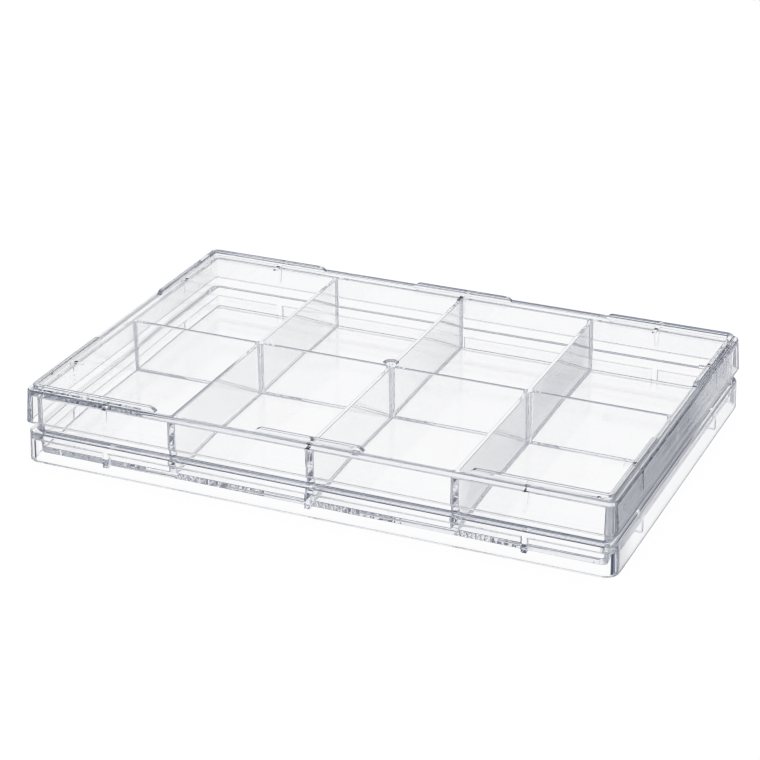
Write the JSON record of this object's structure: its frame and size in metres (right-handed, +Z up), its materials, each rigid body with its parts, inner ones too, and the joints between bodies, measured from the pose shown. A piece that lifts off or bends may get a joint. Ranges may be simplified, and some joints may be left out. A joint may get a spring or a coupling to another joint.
{
  "type": "well plate",
  "caption": "Shallow clear plastic culture plate with rectangular wells in the standard microplate footprint, closed by a loose skirted lid with a stacking ridge.",
  "frame": {"origin": "centre of the footprint on the plane the skirt stands on", "axes": "+X along the long side, +Y along the short side, +Z up through the lid"},
  "size_m": [0.1278, 0.0854, 0.0168],
  "materials": {
    "base_plastic": "clear",
    "lid_plastic": "clear"
  },
  "bodies": {
    "root": {"plate_base": "base_plastic", "lid": "lid_plastic"}
  },
  "joints": []
}
